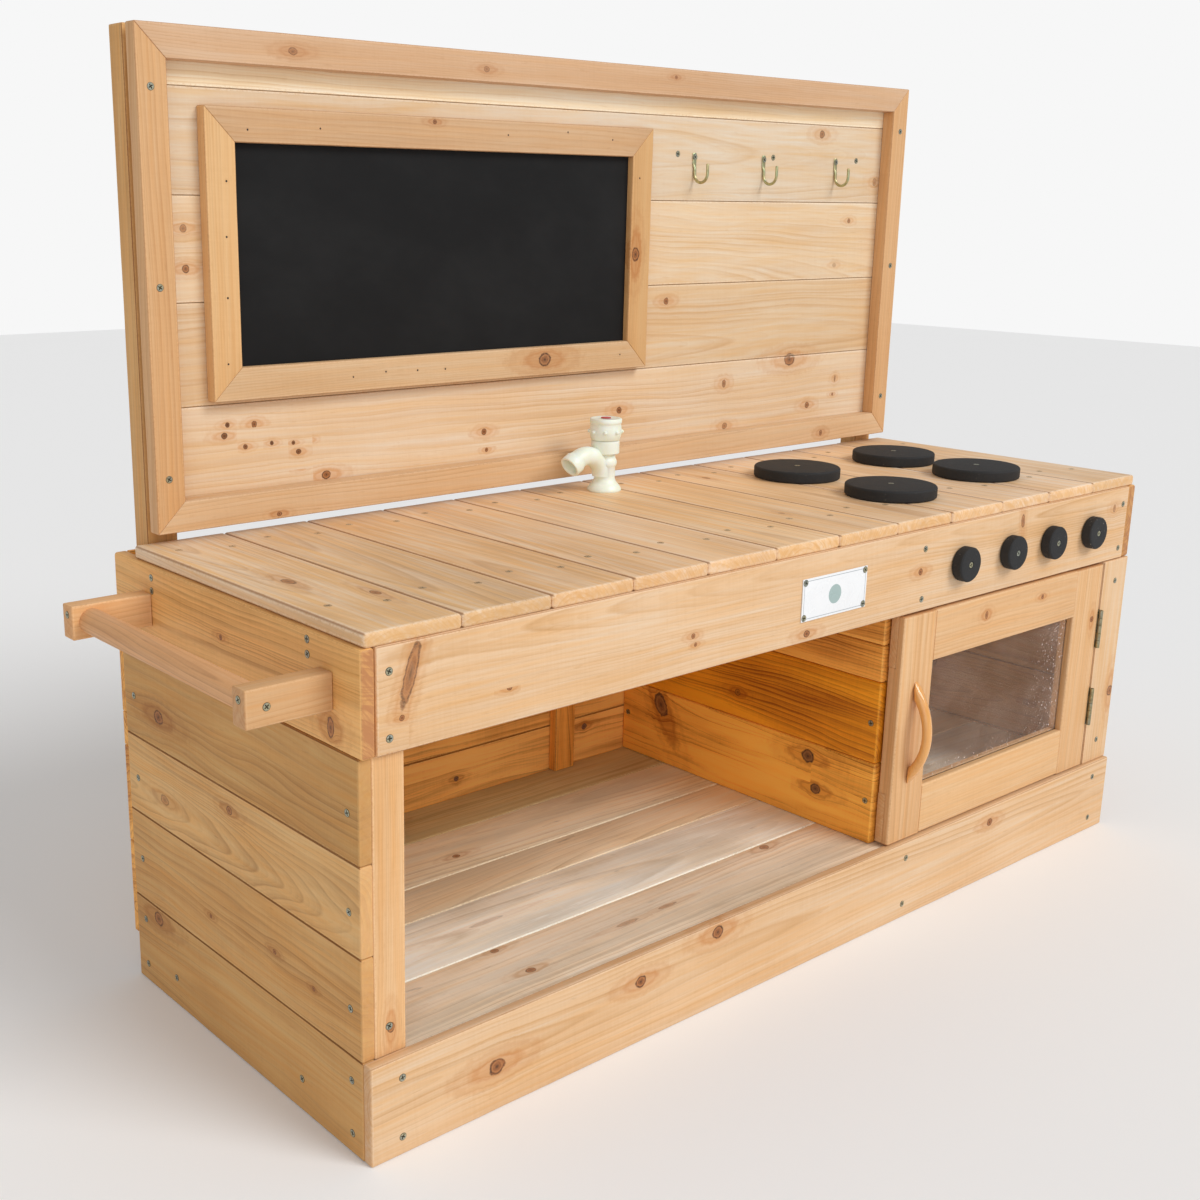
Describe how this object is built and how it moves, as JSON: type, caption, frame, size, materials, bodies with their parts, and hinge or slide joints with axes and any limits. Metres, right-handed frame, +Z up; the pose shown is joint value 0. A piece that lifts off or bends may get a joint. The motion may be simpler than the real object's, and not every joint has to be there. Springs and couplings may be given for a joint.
{
  "type": "toy kitchen",
  "caption": "Wooden outdoor play kitchen with open shelf, hinged glazed oven door, slatted worktop with tap and burners, turning knobs, towel bar and chalkboard back with hooks.",
  "frame": {"origin": "middle of the overall bounding box, at ground level", "axes": "+X to the right along the front, +Y to the back, +Z up; the front faces -Y"},
  "size_m": [1.2826, 0.4608, 0.961],
  "materials": {
    "honey_fir": "thin clear oil, fine straight grain with small knots",
    "side_fir": "thin clear oil, darker and browner boards",
    "worktop_fir": "thin clear oil, worn greyer on top",
    "floor_fir": "weathered, pinkish grey",
    "pale_fir": "pale planed boards",
    "inner_fir": "unfinished warm orange boards",
    "bar_wood": "smooth turned bar",
    "varnished_wood": "orange gloss varnish",
    "black_painted_wood": "matte black paint",
    "chalkboard_black": "matte black board",
    "zinc_steel": "zinc plated",
    "yellow_zinc": "yellow passivated zinc plate",
    "white_plate": "satin white",
    "ivory_plastic": "moulded plastic with a soft gloss",
    "red_plastic": "moulded plastic",
    "clear_acrylic": "clear sheet with light scratches"
  },
  "bodies": {
    "cabinet": {"plinth_front": "honey_fir", "front_post_left": "honey_fir", "hinge_stile": "honey_fir", "apron_front": "honey_fir", "apron_left": "honey_fir", "apron_right": "honey_fir", "towel_brackets": "honey_fir", "backboard_frame_top": "honey_fir", "backboard_frame_bottom": "honey_fir", "backboard_frame_left": "honey_fir", "backboard_frame_right": "honey_fir", "backboard_posts": "honey_fir", "chalkboard_frame_top": "honey_fir", "chalkboard_frame_bottom": "honey_fir", "chalkboard_frame_left": "honey_fir", "chalkboard_frame_right": "honey_fir", "side_boards_left": "side_fir", "side_boards_right": "side_fir", "back_boards": "side_fir", "apron_rear": "side_fir", "worktop_boards": "worktop_fir", "floor_boards": "floor_fir", "backboard_planks": "pale_fir", "divider_boards": "inner_fir", "divider_battens": "inner_fir", "corner_battens": "inner_fir", "floor_bearers": "inner_fir", "apron_blocks": "inner_fir", "worktop_battens": "inner_fir", "towel_dowel": "bar_wood", "burner_front_left": "black_painted_wood", "burner_front_right": "black_painted_wood", "burner_rear_left": "black_painted_wood", "burner_rear_right": "black_painted_wood", "chalkboard_slate": "chalkboard_black", "carcass_screws": "zinc_steel", "worktop_screws": "zinc_steel", "backboard_screws": "zinc_steel", "fitting_screws": "zinc_steel", "knob_screws": "zinc_steel", "hinge_pins": "zinc_steel", "utensil_hooks": "yellow_zinc", "hinge_leaves_cabinet": "yellow_zinc", "nameplate": "white_plate", "tap_body": "ivory_plastic"},
    "door": {"door_stile_left": "honey_fir", "door_stile_right": "honey_fir", "door_rail_top": "honey_fir", "door_rail_bottom": "honey_fir", "door_window": "clear_acrylic", "door_window_beads": "honey_fir", "door_handle": "varnished_wood", "hinge_leaves_door": "yellow_zinc", "door_screws": "zinc_steel"},
    "knob_1": {"knob_1": "black_painted_wood"},
    "knob_2": {"knob_2": "black_painted_wood"},
    "knob_3": {"knob_3": "black_painted_wood"},
    "knob_4": {"knob_4": "black_painted_wood"},
    "tap_top": {"tap_handle": "ivory_plastic", "tap_indicator": "red_plastic"}
  },
  "joints": [
    {"name": "door_hinge", "type": "hinge", "parent": "cabinet", "child": "door", "pos_m": [0.5825, -0.2084, 0.23], "axis": [0, 0, 1], "range_deg": [0, 170]},
    {"name": "knob_1_turn", "type": "hinge", "parent": "cabinet", "child": "knob_1", "pos_m": [0.262, -0.2109, 0.416], "axis": [0, -1, 0], "continuous": true},
    {"name": "knob_2_turn", "type": "hinge", "parent": "cabinet", "child": "knob_2", "pos_m": [0.358, -0.2109, 0.416], "axis": [0, -1, 0], "continuous": true},
    {"name": "knob_3_turn", "type": "hinge", "parent": "cabinet", "child": "knob_3", "pos_m": [0.445, -0.2109, 0.416], "axis": [0, -1, 0], "continuous": true},
    {"name": "knob_4_turn", "type": "hinge", "parent": "cabinet", "child": "knob_4", "pos_m": [0.537, -0.2109, 0.416], "axis": [0, -1, 0], "continuous": true},
    {"name": "tap_turn", "type": "hinge", "parent": "cabinet", "child": "tap_top", "pos_m": [0.019, 0.1271, 0.545], "axis": [0, 0, 1], "continuous": true}
  ]
}
